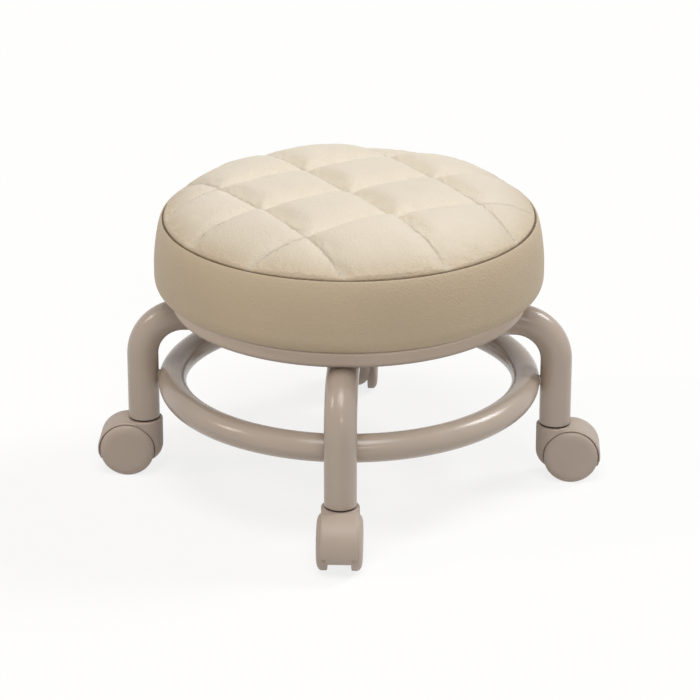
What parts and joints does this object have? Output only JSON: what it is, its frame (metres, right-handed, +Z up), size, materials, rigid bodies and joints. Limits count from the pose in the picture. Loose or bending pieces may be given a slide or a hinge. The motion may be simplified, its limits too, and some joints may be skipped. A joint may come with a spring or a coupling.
{
  "type": "pedicure stool",
  "caption": "Low rolling stool with a round quilted cushion on a bent tube frame, a welded foot ring and twin wheel swivel casters.",
  "frame": {"origin": "on the floor under the middle of the seat", "axes": "+Z up, +X to the right caster and -Y to the front caster, with a leg on each of the four half axes"},
  "size_m": [0.4022, 0.4022, 0.2498],
  "materials": {
    "top_leather": "satin",
    "band_leather": "satin",
    "foam": "matte",
    "plywood": "matte",
    "frame_paint": "satin",
    "caster_plastic": "satin",
    "dark_plastic": "matte",
    "zinc_steel": "satin"
  },
  "bodies": {
    "frame": {"arch_tube": "frame_paint", "front_leg_tube": "frame_paint", "back_leg_tube": "frame_paint", "foot_ring": "frame_paint", "ring_welds": "frame_paint", "seat_pan": "frame_paint", "seat_board": "plywood", "seat_bolts": "zinc_steel", "tee_nuts": "zinc_steel", "foam_core": "foam", "side_band": "band_leather", "quilted_top": "top_leather", "grip_rings": "zinc_steel", "right_socket": "dark_plastic", "back_socket": "dark_plastic", "left_socket": "dark_plastic", "front_socket": "dark_plastic"},
    "right_caster": {"right_hood": "caster_plastic", "right_stem": "zinc_steel", "right_axle": "zinc_steel"},
    "right_roller_1": {"right_wheel_1": "caster_plastic"},
    "right_roller_2": {"right_wheel_2": "caster_plastic"},
    "back_caster": {"back_hood": "caster_plastic", "back_stem": "zinc_steel", "back_axle": "zinc_steel"},
    "back_roller_1": {"back_wheel_1": "caster_plastic"},
    "back_roller_2": {"back_wheel_2": "caster_plastic"},
    "left_caster": {"left_hood": "caster_plastic", "left_stem": "zinc_steel", "left_axle": "zinc_steel"},
    "left_roller_1": {"left_wheel_1": "caster_plastic"},
    "left_roller_2": {"left_wheel_2": "caster_plastic"},
    "front_caster": {"front_hood": "caster_plastic", "front_stem": "zinc_steel", "front_axle": "zinc_steel"},
    "front_roller_1": {"front_wheel_1": "caster_plastic"},
    "front_roller_2": {"front_wheel_2": "caster_plastic"}
  },
  "joints": [
    {"name": "right_swivel", "type": "hinge", "parent": "frame", "child": "right_caster", "pos_m": [0.1644, 0, 0.0469], "axis": [0, 0, 1], "continuous": true},
    {"name": "right_wheel_1_spin", "type": "hinge", "parent": "right_caster", "child": "right_roller_1", "pos_m": [0.1776, 0, 0.0217], "axis": [0, 1, 0], "continuous": true},
    {"name": "right_wheel_2_spin", "type": "hinge", "parent": "right_caster", "child": "right_roller_2", "pos_m": [0.1776, 0, 0.0217], "axis": [0, 1, 0], "continuous": true},
    {"name": "back_swivel", "type": "hinge", "parent": "frame", "child": "back_caster", "pos_m": [0, 0.1644, 0.0469], "axis": [0, 0, 1], "continuous": true},
    {"name": "back_wheel_1_spin", "type": "hinge", "parent": "back_caster", "child": "back_roller_1", "pos_m": [0, 0.1776, 0.0217], "axis": [1, 0, 0], "continuous": true},
    {"name": "back_wheel_2_spin", "type": "hinge", "parent": "back_caster", "child": "back_roller_2", "pos_m": [0, 0.1776, 0.0217], "axis": [1, 0, 0], "continuous": true},
    {"name": "left_swivel", "type": "hinge", "parent": "frame", "child": "left_caster", "pos_m": [-0.1644, 0, 0.0469], "axis": [0, 0, 1], "continuous": true},
    {"name": "left_wheel_1_spin", "type": "hinge", "parent": "left_caster", "child": "left_roller_1", "pos_m": [-0.1776, 0, 0.0217], "axis": [0, 1, 0], "continuous": true},
    {"name": "left_wheel_2_spin", "type": "hinge", "parent": "left_caster", "child": "left_roller_2", "pos_m": [-0.1776, 0, 0.0217], "axis": [0, 1, 0], "continuous": true},
    {"name": "front_swivel", "type": "hinge", "parent": "frame", "child": "front_caster", "pos_m": [0, -0.1644, 0.0469], "axis": [0, 0, 1], "continuous": true},
    {"name": "front_wheel_1_spin", "type": "hinge", "parent": "front_caster", "child": "front_roller_1", "pos_m": [0, -0.1776, 0.0217], "axis": [1, 0, 0], "continuous": true},
    {"name": "front_wheel_2_spin", "type": "hinge", "parent": "front_caster", "child": "front_roller_2", "pos_m": [0, -0.1776, 0.0217], "axis": [1, 0, 0], "continuous": true}
  ]
}
